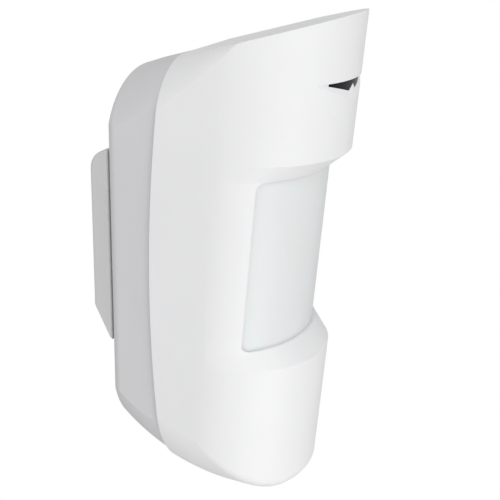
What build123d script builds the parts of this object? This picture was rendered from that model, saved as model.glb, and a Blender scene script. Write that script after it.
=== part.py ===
from build123d import *
import os
from math import sqrt

# Wall-mounted outdoor motion sensor. Millimetres, +Z up, the front faces -Y, the wall is y = 0,
# and z = 0 is half way up the housing.

# ---- Housing: overall form ----
width = 73.0            # across the front cover
underside = -93.6       # lowest point of the housing
roof_start = 66.4       # height of the roof line, carried back to the wall
roof_slope = 0.268      # rise of the roof for each mm forward
shoulder_front = 1.2    # round between roof and sides over the nose
shoulder_back = 31.5    # the same at the back of the housing
shoulder_end = 62.0     # the shoulders grow from this far off the wall to the back
under_radius = 24.0     # round along the two long edges of the underside
under_rise = 18.3       # the underside is this much higher at the back than at the front
under_flat_from = 58.0  # the underside is level from this far off the wall
nose_start = 51.0       # wall to the start of the nose curve, at z = 0
nose_depth = 35.5       # how far the nose bulges beyond its start
nose_lean = 0.073       # the nose leans forward by this for each mm up
toe_radius = 5.0        # round where the nose meets the underside
front_limit = 115.0     # trimming blocks end here, well beyond the nose
side_land = 0.03        # the block is this much wider than the nose, so their sides never coincide
cut_margin = 2.0        # cutters stand clear of what they cut by this

# ---- Shells ----
cover_wall = 2.5
rear_wall = 2.6
cover_overhang = 1.0    # the cover's rim stands this proud of the rear shell
rear_half_back = 33.8   # half width of the rear shell at its back
back_edge_round = 5.0
seam = 0.3              # gap between the cover's rim and the rear shell
seam_mid = 27.5         # wall to the seam at mid height
seam_end = 33.5         # wall to the seam at the top and bottom
seam_top = 76.0
tongue_reach = 2.4      # the rear shell's tongue enters the cover by this much
tongue_wall = 1.4
gasket_width = 1.0
gasket_depth = 1.2

# ---- Wall bracket ----
bracket_width = 63.4
bracket_depth = 7.6
bracket_wall = 2.2
bracket_edge = 1.0
lock_block_wide = 9.6
hook_clearance = 0.8    # hook lips stand this far off the rear shell's inner face
ring_d = 6.0            # weakened ring under the tamper plunger
ring_cut = 0.5
bracket_top = 31.5      # where the rounded top edge meets the wall
bracket_low_wall = -22.8
bracket_low_front = -37.4
mount_gap = 0.4         # bracket face to the back of the housing
fixing_dx = 42.0        # wall screw holes, across and up
fixing_dz = 36.0
fixing_z = 0.0          # height of the middle of that pattern
fixing_d = 4.5
hook_x = 12.0
hook_zs = (-16.0, 20.0)
hook_width = 8.0
hook_thick = 3.0
hook_lip = 3.5
hook_lip_thick = 2.4
slide_travel = 6.0      # the housing lifts by this to come off the bracket
fit = 0.1               # sliding clearance

# ---- Lens window ----
lens_top = 34.6
lens_bottom = -31.4
visor_edge = 40.7
ledge_edge = -38.6
lens_depth = 28.5       # bulge of the lens, where the nose has nose_depth
lens_half = 31.5
lens_corner = 3.0
lens_lip = 1.2
lens_thick = 1.2
lens_flange = 2.0
frame_thick = 1.5
frame_inside = 1.2      # the frame stands in from the edge of the window

# ---- Masking window under the brow ----
brow = 68.3
mask_half = 15.8
mask_tip = 67.3         # lower corner of its blunt ends
mask_low = 64.0
mask_ridge = 66.2
mask_shoulder = 3.0
mask_recess = 1.0
mask_flange = 1.6
mask_over = 6.0         # its sheet is cut from a band this much taller
scoop_half = 22.2       # the scoop runs out this far to each side
scoop_low = 59.4        # its lowest point, in the middle
scoop_depth = 0.9
scoop_fade = 6.0        # it gets shallower over this much of each end
scoop_land = 0.05
scoop_xs = (0.0, 3.0, 7.0, 10.5, 13.5, 15.8, 18.6, 21.2)

# ---- Boards, optics, battery ----
board_thick = 1.6
board_face = 20.0       # wall to the rear face of the main board
board_width = 56.0
board_low = -21.0
board_high = 57.0
boss_x = 23.0
boss_zs = (-15.0, 50.0)
boss_d = 6.0
board_screw_d = 2.5
board_screw_in = 6.0    # how far these screws enter their bosses
chassis_half = 20.0
chassis_low = -12.0
chassis_high = 36.0
chassis_front = 46.0
chassis_wall = 1.8
sensor_d = 9.2
sensor_zs = (0.0, 24.0)
sensor_board_thick = 1.2
cell_d = 16.8
cell_length = 33.5
cell_button = 1.0
cell_button_d = 6.0
holder_corner = 1.5
contact_wide = 10.0
contact_cone_d = 7.0
contact_taper = 30
holder_low = -68.0
holder_wall = 1.7

board_corner = 7.0
radio_spot = (0.0, 46.0)
chip_spot = (0.0, -16.5)
button_spot = (24.4, 6.0)
trimmer_spot = (-24.2, 6.0)
led_spot = (24.4, 22.0)
led_d = 3.0
led_rim = 0.4
led_high = 4.0
antenna_spot = (21.0, 53.0)
antenna_reach = 6.0
antenna_bend = 2.5
antenna_drop = 20.0
antenna_d = 1.2
baffle_end = 62.0
baffle_half = 16.0
foot_high = 2.0
arm_root = 8.0          # the arms start this far in front of the board
arm_tip = 6.0
arm_drop = 10.0
arm_front = 79.0
arm_half = 12.0
chassis_feet = ((-16.0, 38.5), (16.0, 38.5))

sensor_high = 4.4
sensor_pane = (4.7, 3.4, 0.2)
mask_board_high = 9.0
mask_board_mid = 3.5    # the mask board's middle is this far below the brow
mask_led_x = 8.0
mask_led_z = 65.8
mask_led_high = 4.2
contact_high = 1.8
contact_leaf = 0.5
cell_gap = 0.8

# ---- Small mechanisms ----
plug_lip = 1.0
radio_board = (26.0, 13.0, 0.8)
radio_can = (18.0, 11.0, 2.2)
chip_size = (7.0, 7.0, 1.2)
chip_mark = 2.2         # offset of the dimple that marks pin one
small_round = 0.5
switch_wide = 6.0
switch_high = 3.5
switch_body = 3.8
button_d = 3.4
button_depth = 2.0
button_proud = 1.2
button_travel = 0.5
trimmer_wide = 7.0
trimmer_body = 4.0
trimmer_sunk = 1.2
trimmer_proud = 0.8
trimmer_d = 4.6
finger_xs = (-11.0, 11.0)
finger_width = 6.0
finger_thick = 2.0
screw_d = 3.0
screw_head_d = 5.6
screw_head = 2.0
cover_screw_y = -40.0
lock_tab_wide = 8.0     # tab on the rear shell that the lock screw enters
lock_tab_thick = 3.0
lock_tab_z = -17.0      # height of the middle of that tab
tab_y = -4.2            # lock screw axis off the wall
lock_tab_end = 1.8      # wall to the end of that tab
screw_tab_half = 5.0    # half width of the notched tab over the cover's screw boss
screw_tab_root = 23.5   # wall to the root of that tab
screw_past = 2.0        # screws end this far beyond what they hold
pocket_wall = 2.2       # wall round a screw's head pocket
plunger_z = 28.0
plunger_d = 4.0
plunger_travel = 1.5
flange_clearance = 0.6
flange_thick = 1.2
flange_d = 7.2
stem_d = 2.4
switch_nub = 0.5
spring_wire = 0.5
spring_radius = 2.2
spring_turns = 4
spring_sides = 8        # the wire is drawn as a prism this many-sided
cable_hole_d = 12.0
cable_z = 3.0
cable_open = 18.0
lock_boss_high = -21.5
lock_head_seat = -27.0
screw_tab_thick = 3.0
screw_boss = 6.0
tab_clearance = 1.0

half = width / 2
back = bracket_depth + mount_gap
finger_back = seam_mid - 2.5
finger_root = seam_end + tongue_reach + seam + finger_thick
finger_top = roof_start + roof_slope * finger_back - cover_overhang - rear_wall - 4 * seam
finger_web_top = roof_start + roof_slope * (finger_root - finger_thick) - cover_wall / 2
board_front = board_face + board_thick
os.makedirs("parts", exist_ok=True)


def finish(part, name):
    """Label a finished piece and write its STEP file."""
    part.label = name
    export_step(part, f"parts/{name}.step")


def roof_at(depth):
    """Height of the roof line, this far off the wall."""
    return roof_start + roof_slope * depth


def d_section(z, half_width, depth):
    """Plan of the housing at height z: straight sides that close in a half ellipse."""
    middle = -(nose_start + nose_lean * z)
    with BuildSketch(Plane.XY.offset(z)) as section:
        with BuildLine():
            Polyline((half_width, middle), (half_width, 0), (-half_width, 0), (-half_width, middle))
            EllipticalCenterArc((0, middle), half_width, depth, start_angle=180, arc_size=180)
        make_face()
    return section.sketch


def column(inset, depth, low, high):
    """Leaning column of the D section, pulled in by inset on every side."""
    with BuildPart() as leaning:
        add(d_section(low, half - inset, depth - inset))
        extrude(amount=(high - low) * sqrt(1 + nose_lean**2), dir=(0, -nose_lean, 1))
    return leaning.part


def shoulder_cut(inset):
    """What the rounded shoulders take off the two top edges. They fade towards the nose."""
    reach = half + side_land - inset
    clear = reach + cut_margin
    stations = ((back, shoulder_back), (shoulder_end, shoulder_front), (front_limit, shoulder_front))
    outlines = []
    for depth, full_radius in stations:
        radius = max(full_radius - inset, shoulder_front / 2)
        top = roof_at(depth) - inset
        over = top + cut_margin
        with BuildSketch(Plane.XZ.offset(depth)) as outline:
            with BuildLine():
                RadiusArc((reach - radius, top), (reach, top - radius), radius)
                Polyline((reach, top - radius), (clear, top - radius), (clear, over),
                         (reach - radius, over), (reach - radius, top))
            make_face()
        outlines.append(outline.sketch)
    with BuildPart() as cut:
        loft(outlines, ruled=True)
        mirror(about=Plane.YZ)
    return cut.part


def block(inset):
    """Housing without its nose: a sloping roof over an underside that sweeps up to the back."""
    level = (-under_flat_from, underside + inset)
    rear = (-back, underside + under_rise + inset)
    with BuildPart() as solid:
        with BuildSketch(Plane.YZ):
            with BuildLine():
                TangentArc([level, rear], tangent=(1, 0))
                Polyline(rear, (-back, roof_at(back) - inset), (-front_limit, roof_at(front_limit) - inset),
                         (-front_limit, underside + inset), level)
            make_face()
        extrude(amount=half + side_land - inset, both=True)
        long_edges = solid.edges().filter_by(Axis.X, reverse=True).filter_by(Axis.Z, reverse=True)
        fillet(long_edges.filter_by_position(Axis.Z, 2 * underside, underside / 2), under_radius - inset)
        add(shoulder_cut(inset), mode=Mode.SUBTRACT)
    return solid.part


def recess(inset, edge_shift):
    """What the lens window takes off the nose: a band with sloping ends."""
    stations = (
        (ledge_edge - edge_shift, nose_depth),
        (lens_bottom - edge_shift, lens_depth),
        (lens_top + edge_shift, lens_depth),
        (visor_edge + edge_shift, nose_depth),
    )
    with BuildPart() as band:
        low, high = stations[0][0], stations[-1][0]
        with Locations((0, -front_limit / 2 - nose_start, (low + high) / 2)):
            Box(2 * width, front_limit, high - low)
        sections = [d_section(z, half - inset, depth - inset) for z, depth in stations]
        loft(sections, ruled=True, mode=Mode.SUBTRACT)
    return band.part


def seam_region(gap, forward):
    """Everything on one side of the seam. The seam bows forward at the top and bottom."""
    with BuildPart() as region:
        with BuildSketch(Plane.YZ):
            with BuildLine():
                top = (-seam_end - gap, seam_top)
                middle = (-seam_mid - gap, 0)
                bottom = (-seam_end - gap, -seam_top * 1.2)
                ThreePointArc(bottom, middle, top)
                far = -front_limit * 2 if forward else front_limit
                Polyline(top, (top[0], 2 * seam_top), (far, 2 * seam_top), (far, -2 * seam_top),
                         (bottom[0], -2 * seam_top), bottom)
            make_face()
        extrude(amount=width, both=True)
    return region.part


def rear_body(inset):
    """Rear shell without its hollow: narrower than the cover and tapering to the back."""
    rim_half = half - cover_overhang
    rim = seam_end + tongue_reach
    with BuildPart() as solid:
        add(block(cover_overhang + inset))
        with BuildSketch(Plane.XY.offset(2 * underside)):
            with BuildLine():
                Polyline((rear_half_back - inset, -back), (rim_half - inset, -rim),
                         (-rim_half + inset, -rim),
                         (-rear_half_back + inset, -back), close=True)
            make_face()
        extrude(amount=-4 * underside, mode=Mode.INTERSECT)
    return solid.part


def window_box(half_x, low, high, corner, near, far):
    """Straight cutter through the front, between two distances off the wall."""
    with BuildPart() as cutter:
        with BuildSketch(Plane.XZ.offset(near)):
            with Locations((0, (low + high) / 2)):
                RectangleRounded(2 * half_x, high - low, corner)
        extrude(amount=far - near)
    return cutter.part


def mask_outline(tip, margin):
    """Front view of the masking window: a flat brow over two shallow points."""
    with BuildSketch(Plane.XZ.offset(nose_start)) as outline:
        with BuildLine():
            Polyline((-tip, brow + margin), (-tip, mask_tip - margin), (-mask_shoulder, mask_low - margin),
                     (0, mask_ridge - margin), (mask_shoulder, mask_low - margin), (tip, mask_tip - margin),
                     (tip, brow + margin), close=True)
        make_face()
    return outline.sketch


# ---- Front cover: hood, nose and lens recess in one shell ----
nose = column(0, nose_depth, 1.2 * underside, front_limit)
nose_cavity = column(cover_wall, nose_depth, 1.2 * underside, front_limit)

with BuildPart() as cavity:
    add(block(cover_wall))
    add(nose_cavity, mode=Mode.INTERSECT)
    add(recess(cover_wall, cover_wall / 2), mode=Mode.SUBTRACT)

# The scoop: facets that deepen up to the masking window and run out to the sides under the brow.
scoop_outlines = []
for x in [-x for x in scoop_xs[:0:-1]] + list(scoop_xs):
    off = abs(x)
    low = scoop_low + (brow - scoop_low) * off / scoop_half
    edge = mask_ridge + (mask_low - mask_ridge) * off / mask_shoulder
    if off > mask_shoulder:
        edge = mask_low + (mask_tip - mask_low) * (off - mask_shoulder) / (mask_half - mask_shoulder)
    edge = min(max(edge, low + scoop_land), brow - scoop_land)
    depth = scoop_depth * min(1, (scoop_half - off) / scoop_fade)
    bulge = nose_depth * sqrt(1 - (off / half) ** 2)
    nose_y = [-(nose_start + nose_lean * z) - bulge for z in (low, edge, brow)]
    with BuildSketch(Plane.YZ.offset(x)) as outline:
        with BuildLine():
            Polyline((nose_y[0], low), (nose_y[1] + depth, edge), (nose_y[2] + depth, brow),
                     (nose_y[2] - cut_margin, brow), (nose_y[0] - cut_margin, low), close=True)
        make_face()
    scoop_outlines.append(outline.sketch)

with BuildPart() as scoop:
    loft(scoop_outlines, ruled=True)

with BuildPart() as lens_seat:
    add(column(lens_lip, lens_depth, lens_bottom - lens_flange, lens_top + lens_flange))
    add(window_box(lens_half + lens_flange, lens_bottom - lens_flange, lens_top + lens_flange,
                   lens_corner, nose_start, front_limit), mode=Mode.INTERSECT)

boss_low = underside + screw_head + 4 * fit
boss_high = boss_low + screw_boss
tab_low = boss_high + tab_clearance

with BuildPart() as front_cover:
    add(block(0))
    add(nose, mode=Mode.INTERSECT)
    toe = front_cover.edges().group_by(Axis.Z)[0].sort_by(Axis.Y)[0]
    fillet(toe, toe_radius)
    add(recess(0, 0), mode=Mode.SUBTRACT)
    add(scoop.part, mode=Mode.SUBTRACT)
    add(cavity.part, mode=Mode.SUBTRACT)
    add(seam_region(seam / 2, True), mode=Mode.INTERSECT)
    add(window_box(lens_half, lens_bottom, lens_top, lens_corner, nose_start, front_limit),
        mode=Mode.SUBTRACT)
    add(lens_seat.part, mode=Mode.SUBTRACT)
    extrude(mask_outline(mask_half, 0), amount=front_limit - nose_start, mode=Mode.SUBTRACT)
    # Screw boss inside the underside, and its bore and head pocket.
    with BuildSketch(Plane.XY.offset(boss_low)):
        with Locations((0, cover_screw_y)):
            Circle(screw_head_d / 2 + pocket_wall)
    extrude(amount=boss_high - boss_low)
    with BuildSketch(Plane.XY.offset(underside)):
        with Locations((0, cover_screw_y)):
            Circle(screw_d / 2 + fit)
    extrude(amount=boss_high - underside, mode=Mode.SUBTRACT)
    with BuildSketch(Plane.XY.offset(underside)):
        with Locations((0, cover_screw_y)):
            Circle(screw_head_d / 2 + 2 * fit)
    extrude(amount=boss_low - underside, mode=Mode.SUBTRACT)
    # Two fingers hang from the roof and reach back under the rear shell's roof.
    finger_mid = -(finger_back + finger_root) / 2
    with Locations(*[(x, finger_mid, finger_top - finger_thick / 2) for x in finger_xs]):
        Box(finger_width, finger_root - finger_back, finger_thick)
    web_mid = (finger_top + finger_web_top) / 2
    with Locations(*[(x, -finger_root + finger_thick / 2, web_mid) for x in finger_xs]):
        Box(finger_width, finger_thick, finger_web_top - finger_top + 2 * fit)

finish(front_cover.part, "front_cover")


# ---- Lens, its frame and the masking window, all carried by the cover ----
def curved_panel(outer_inset, thickness, half_x, low, high, corner):
    """Sheet that follows the lens curve."""
    with BuildPart() as panel:
        add(column(outer_inset, lens_depth, low, high))
        add(column(outer_inset + thickness, lens_depth, low - 1, high + 1), mode=Mode.SUBTRACT)
        add(window_box(half_x, low, high, corner, nose_start, front_limit), mode=Mode.INTERSECT)
    return panel.part


lens_inset = lens_lip + fit / 2
lens_grow = lens_flange - fit
with BuildPart() as fresnel_lens:
    add(curved_panel(lens_inset, lens_thick, lens_half + lens_grow, lens_bottom - lens_grow,
                     lens_top + lens_grow, lens_corner))
finish(fresnel_lens.part, "fresnel_lens")

frame_inset = lens_inset + lens_thick + fit / 2
with BuildPart() as lens_frame:
    add(curved_panel(frame_inset, frame_thick, lens_half + lens_grow, lens_bottom - lens_grow,
                     lens_top + lens_grow, lens_corner))
    add(window_box(lens_half - frame_inside, lens_bottom + frame_inside, lens_top - frame_inside,
                   lens_corner, nose_start, front_limit), mode=Mode.SUBTRACT)
finish(lens_frame.part, "lens_frame")

mask_base = mask_low - mask_over
mask_top = brow + mask_over
with BuildPart() as mask_face:
    add(column(mask_recess, nose_depth, mask_base, mask_top))
    add(column(cover_wall + fit, nose_depth, mask_base - 1, mask_top + 1), mode=Mode.SUBTRACT)
    extrude(mask_outline(mask_half - 8 * fit, -fit), amount=front_limit, mode=Mode.INTERSECT)
with BuildPart() as mask_rim:
    add(column(cover_wall + fit, nose_depth, mask_base, mask_top))
    add(column(cover_wall + fit + lens_thick, nose_depth, mask_base - 1, mask_top + 1), mode=Mode.SUBTRACT)
    extrude(mask_outline(mask_half + mask_flange, mask_flange), amount=front_limit, mode=Mode.INTERSECT)
with BuildPart() as masking_window:
    add(mask_face.part)
    add(mask_rim.part)
finish(masking_window.part, "masking_window")


# ---- Rear shell ----
tongue_outer = cover_wall + seam
tongue_inner = tongue_outer + tongue_wall

# The tongue keeps one outline all the way forward, so the cover can leave it.
rim_plane = Plane.XZ.offset(seam_mid)
rim_outer = section(block(tongue_outer), section_by=rim_plane)
rim_inner = section(block(tongue_inner), section_by=rim_plane)

with BuildPart() as tongue:
    extrude(rim_outer, amount=seam_end - seam_mid + tongue_reach, both=True)
    extrude(rim_inner, amount=2 * seam_end, both=True, mode=Mode.SUBTRACT)
    add(seam_region(seam + tongue_reach, True), mode=Mode.SUBTRACT)
    add(rear_body(cover_overhang), mode=Mode.INTERSECT)
    with BuildSketch(Plane.XZ.offset(finger_back - seam)):
        with Locations(*[(x, finger_top) for x in finger_xs]):
            Rectangle(finger_width + 4 * seam, 6 * finger_thick)
    extrude(amount=seam_end, mode=Mode.SUBTRACT)

with BuildPart() as gasket_track:
    add(rear_body(seam + 2 * fit))
    add(rear_body(seam + 2 * fit + gasket_width), mode=Mode.SUBTRACT)
    add(seam_region(-seam / 2, True), mode=Mode.SUBTRACT)
    add(seam_region(-seam / 2 - gasket_depth, True), mode=Mode.INTERSECT)

with BuildPart() as rear_hollow:
    add(rear_body(rear_wall))
    with Locations((0, -back - rear_wall - front_limit / 2, 0)):
        Box(2 * width, front_limit, 4 * roof_start, mode=Mode.INTERSECT)

inner_back = back + rear_wall
slot_high = hook_thick + slide_travel + 3 * fit
plunger_hole_d = plunger_d + 4 * fit
boss_spots = [(x, z) for x in (-boss_x, boss_x) for z in boss_zs]

with BuildPart() as rear_shell:
    add(rear_body(0))
    fillet(rear_shell.faces().sort_by(Axis.Y)[-1].edges(), back_edge_round)
    add(rear_hollow.part, mode=Mode.SUBTRACT)
    add(seam_region(-seam / 2, True), mode=Mode.SUBTRACT)
    add(tongue.part)
    add(gasket_track.part, mode=Mode.SUBTRACT)
    # Slots that drop over the bracket's hooks, and holes for the plunger and the cable.
    with BuildSketch(Plane.XZ.offset(back)):
        for hook_z in hook_zs:
            with Locations(*[(x, hook_z + hook_thick / 2 + fit - slot_high / 2) for x in (-hook_x, hook_x)]):
                Rectangle(hook_width + 8 * fit, slot_high)
        with Locations((0, plunger_z)):
            Circle(plunger_hole_d / 2)
        with Locations((0, cable_z)):
            Circle(cable_hole_d / 2)
    extrude(amount=rear_wall, mode=Mode.SUBTRACT)
    # Bosses that carry the main board.
    with BuildSketch(Plane.XZ.offset(inner_back)):
        with Locations(*boss_spots):
            Circle(boss_d / 2)
    extrude(amount=board_face - inner_back)
    with BuildSketch(Plane.XZ.offset(inner_back)):
        with Locations(*boss_spots):
            Circle(board_screw_d / 2 + fit / 2)
    extrude(amount=board_face - inner_back, mode=Mode.SUBTRACT)
    # Tab behind the back, which the lock screw enters from below.
    with Locations((0, -(lock_tab_end + back) / 2, lock_tab_z)):
        Box(lock_tab_wide, back - lock_tab_end, lock_tab_thick)
    with BuildSketch(Plane.XY.offset(lock_tab_z - lock_tab_thick)):
        with Locations((0, tab_y)):
            Circle(screw_d / 2 + fit)
    extrude(amount=2 * lock_tab_thick, mode=Mode.SUBTRACT)
    # Tab over the cover's screw boss, notched from the front for the screw.
    screw_tab_end = -cover_screw_y + screw_tab_half
    with Locations((0, -(screw_tab_end + screw_tab_root) / 2, tab_low + screw_tab_thick / 2)):
        Box(2 * screw_tab_half, screw_tab_end - screw_tab_root, screw_tab_thick)
    with BuildSketch(Plane.XY.offset(tab_low)):
        with Locations((0, cover_screw_y)):
            Circle(screw_d / 2 + 2 * fit)
        with Locations((0, cover_screw_y - screw_tab_half)):
            Rectangle(screw_d + 4 * fit, 2 * screw_tab_half)
    extrude(amount=screw_tab_thick, mode=Mode.SUBTRACT)
finish(rear_shell.part, "rear_shell")

with BuildPart() as cover_gasket:
    add(rear_body(seam + 2 * fit))
    add(rear_body(seam + 2 * fit + gasket_width), mode=Mode.SUBTRACT)
    add(seam_region(-seam / 2, True), mode=Mode.SUBTRACT)
    add(seam_region(-seam / 2 - gasket_depth, True), mode=Mode.INTERSECT)
finish(cover_gasket.part, "cover_gasket")


# ---- Wall bracket ----
bracket_half = bracket_width / 2
hook_root = bracket_depth
hook_tip = inner_back + hook_clearance + hook_lip_thick
fixing_xs = (-fixing_dx / 2, fixing_dx / 2)
fixing_zs = (fixing_z - fixing_dz / 2, fixing_z + fixing_dz / 2)
fixing_spots = [(x, z) for x in fixing_xs for z in fixing_zs]


def bracket_profile(inset):
    """Side view: rounded top edge and a slanted lower end."""
    corner = bracket_top + bracket_depth
    with BuildSketch(Plane.YZ) as profile:
        with BuildLine():
            start = (0, bracket_top - inset)
            RadiusArc(start, (-bracket_depth + inset, corner - inset), -(bracket_depth - inset))
            Polyline((-bracket_depth + inset, corner - inset),
                     (-bracket_depth + inset, bracket_low_front + 2 * inset),
                     (0, bracket_low_wall + 2 * inset), start)
        make_face()
    return profile.sketch


with BuildPart() as lock_block:
    with BuildSketch(Plane.XY.offset(lock_boss_high)):
        with Locations((0, tab_y)):
            Rectangle(lock_block_wide, 2 * (bracket_depth + tab_y))
    extrude(amount=-3 * bracket_depth)
    extrude(bracket_profile(0), amount=lock_block_wide / 2, both=True, mode=Mode.INTERSECT)

with BuildPart() as wall_bracket:
    extrude(bracket_profile(0), amount=bracket_half, both=True)
    fillet(wall_bracket.edges().filter_by(Axis.Z), bracket_edge)
    extrude(bracket_profile(bracket_wall), amount=bracket_half - bracket_wall, both=True, mode=Mode.SUBTRACT)
    # Posts round the wall screws, countersunk from the front.
    with BuildSketch(Plane.XZ):
        with Locations(*fixing_spots):
            Circle(fixing_d)
    extrude(amount=bracket_depth)
    # Block in the slanted end for the lock screw.
    add(lock_block.part)
    # Opening for the cable and for the tab on the rear shell.
    with BuildSketch(Plane.XZ):
        with Locations((0, cable_z)):
            RectangleRounded(cable_open, cable_open, 2 * bracket_wall)
        with Locations((0, (lock_tab_z - lock_tab_thick + cable_z) / 2)):
            Rectangle(lock_tab_wide + 10 * fit, cable_z - lock_tab_z + lock_tab_thick)
    extrude(amount=bracket_depth, mode=Mode.SUBTRACT)
    # Screw bores: four to the wall, one up through the lower end.
    bracket_face = Plane.XZ.offset(bracket_depth)
    with Locations(*[Location(bracket_face * Location((x, z, 0))) for x, z in fixing_spots]):
        CounterSinkHole(fixing_d / 2, fixing_d * 0.9)
    with BuildSketch(Plane.XY.offset(lock_tab_z - lock_tab_thick)):
        with Locations((0, tab_y)):
            Circle(screw_d / 2 + fit)
    extrude(amount=-4 * bracket_depth, mode=Mode.SUBTRACT)
    with BuildSketch(Plane.XY.offset(lock_head_seat)):
        with Locations((0, tab_y)):
            Circle(screw_head_d / 2 + 2 * fit)
    extrude(amount=-4 * bracket_depth, mode=Mode.SUBTRACT)
    # Ring of weakened plate under the tamper plunger: it stays on the wall if the bracket is torn off.
    with BuildSketch(Plane.XZ):
        with Locations((0, plunger_z)):
            Circle(ring_d)
            Circle(ring_d - 2 * ring_cut, mode=Mode.SUBTRACT)
            Rectangle(4 * plunger_d, plunger_d / 2, mode=Mode.SUBTRACT)
            Rectangle(plunger_d / 2, 4 * plunger_d, mode=Mode.SUBTRACT)
    extrude(amount=bracket_depth, mode=Mode.SUBTRACT)
    # Four hooks.
    for hook_z in hook_zs:
        with Locations(*[(x, -(hook_root + hook_tip) / 2, hook_z) for x in (-hook_x, hook_x)]):
            Box(hook_width, hook_tip - hook_root, hook_thick)
        lip_y = -hook_tip + hook_lip_thick / 2
        with Locations(*[(x, lip_y, hook_z + hook_lip / 2) for x in (-hook_x, hook_x)]):
            Box(hook_width, hook_lip_thick, hook_thick + hook_lip)
finish(wall_bracket.part, "wall_bracket")


# ---- Screws ----
def slotted_screw(shank_d, head_d, head_high, length):
    """Pan-head screw along +Z: the head's underside is at z = 0 and the shank points up."""
    with BuildPart() as screw:
        with BuildSketch():
            Circle(shank_d / 2)
        extrude(amount=length)
        with BuildSketch():
            Circle(head_d / 2)
        extrude(amount=-head_high)
        fillet(screw.edges().filter_by(GeomType.CIRCLE).sort_by(Axis.Z)[0], head_high / 3)
        with BuildSketch(Plane.XY.offset(-head_high)):
            Rectangle(head_d, shank_d / 4)
        extrude(amount=head_high / 2, mode=Mode.SUBTRACT)
    return screw.part


cover_shank = tab_low + screw_tab_thick + screw_past - boss_low
with BuildPart() as cover_screw:
    with Locations((0, cover_screw_y, boss_low)):
        add(slotted_screw(screw_d, screw_head_d, screw_head, cover_shank))
finish(cover_screw.part, "cover_screw")

lock_shank = lock_tab_z + lock_tab_thick / 2 + screw_past - lock_head_seat
with BuildPart() as bracket_lock_screw:
    with Locations((0, tab_y, lock_head_seat)):
        add(slotted_screw(screw_d, screw_head_d, screw_head, lock_shank))
finish(bracket_lock_screw.part, "bracket_lock_screw")

board_shank = board_thick + board_screw_in
board_screw = slotted_screw(board_screw_d, 2 * board_screw_d, board_screw_d * 0.6, board_shank)
with BuildPart() as board_screws:
    for x, z in boss_spots:
        add(Location((x, -board_front, z), (-90, 0, 0)) * board_screw)
finish(board_screws.part, "board_screws")


# ---- Main board and what is soldered to it ----
plunger_seat = board_face - switch_high
with BuildPart() as main_board:
    with BuildSketch(Plane.XZ.offset(board_face)) as outline:
        with Locations((0, (board_low + board_high) / 2)):
            Rectangle(board_width, board_high - board_low)
        chamfer(outline.vertices().group_by(Axis.Y)[-1], board_corner)
        with Locations(*boss_spots):
            Circle(board_screw_d / 2 + fit, mode=Mode.SUBTRACT)
        with Locations(*chassis_feet):
            Circle(board_screw_d / 2 + fit / 2, mode=Mode.SUBTRACT)
    extrude(amount=board_thick)
finish(main_board.part, "main_board")


def on_board(x, z, wide, high, thick, radius):
    """Rounded block standing on the front of the main board."""
    with BuildPart() as body:
        with BuildSketch(Plane.XZ.offset(board_front)):
            with Locations((x, z)):
                RectangleRounded(wide, high, radius)
        extrude(amount=thick)
    return body.part


with BuildPart() as radio_module:
    add(on_board(*radio_spot, *radio_board, small_round))
    with BuildSketch(Plane.XZ.offset(board_front + radio_board[2])):
        with Locations(radio_spot):
            RectangleRounded(radio_can[0], radio_can[1], 2 * small_round)
    extrude(amount=radio_can[2])
    fillet(radio_module.faces().sort_by(Axis.Y)[0].edges(), small_round)
finish(radio_module.part, "radio_module")

with BuildPart() as microcontroller:
    add(on_board(*chip_spot, *chip_size, small_round))
    with Locations((chip_spot[0] - chip_mark, -board_front - chip_size[2], chip_spot[1] + chip_mark)):
        Cylinder(small_round, small_round, rotation=(90, 0, 0), mode=Mode.SUBTRACT)
finish(microcontroller.part, "microcontroller")

with BuildPart() as power_switch:
    add(on_board(*button_spot, switch_wide, switch_wide, switch_body, small_round))
    with BuildSketch(Plane.XZ.offset(board_front + switch_body - button_depth)):
        with Locations(button_spot):
            Circle(button_d / 2 + fit)
    extrude(amount=button_depth, mode=Mode.SUBTRACT)
finish(power_switch.part, "power_switch")

with BuildPart() as power_button:
    with BuildSketch(Plane.XZ.offset(board_front + switch_body - button_depth + button_travel + fit)):
        with Locations(button_spot):
            Circle(button_d / 2)
    extrude(amount=button_depth - button_travel - fit + button_proud)
    fillet(power_button.faces().sort_by(Axis.Y)[0].edges(), small_round)
finish(power_button.part, "power_button")

with BuildPart() as range_trimmer:
    add(on_board(*trimmer_spot, trimmer_wide, trimmer_wide, trimmer_body, small_round))
    with BuildSketch(Plane.XZ.offset(board_front + trimmer_body - trimmer_sunk)):
        with Locations(trimmer_spot):
            Circle(trimmer_d / 2 + fit)
    extrude(amount=trimmer_sunk, mode=Mode.SUBTRACT)
finish(range_trimmer.part, "range_trimmer")

with BuildPart() as trimmer_rotor:
    with BuildSketch(Plane.XZ.offset(board_front + trimmer_body - trimmer_sunk)):
        with Locations(trimmer_spot):
            Circle(trimmer_d / 2)
    extrude(amount=trimmer_sunk + trimmer_proud)
    with BuildSketch(Plane.XZ.offset(board_front + trimmer_body)):
        with Locations(trimmer_spot):
            Rectangle(trimmer_proud, trimmer_d)
            Rectangle(trimmer_d * 0.6, trimmer_proud)
    extrude(amount=trimmer_proud, mode=Mode.SUBTRACT)
finish(trimmer_rotor.part, "trimmer_rotor")

with BuildPart() as status_led:
    with BuildSketch(Plane.XZ.offset(board_front)):
        with Locations(led_spot):
            Circle(led_d / 2 + led_rim)
    extrude(amount=2 * led_rim)
    with BuildSketch(Plane.XZ.offset(board_front)):
        with Locations(led_spot):
            Circle(led_d / 2)
    extrude(amount=led_high)
    fillet(status_led.faces().sort_by(Axis.Y)[0].edges(), led_d * 0.4)
finish(status_led.part, "status_led")

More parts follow.
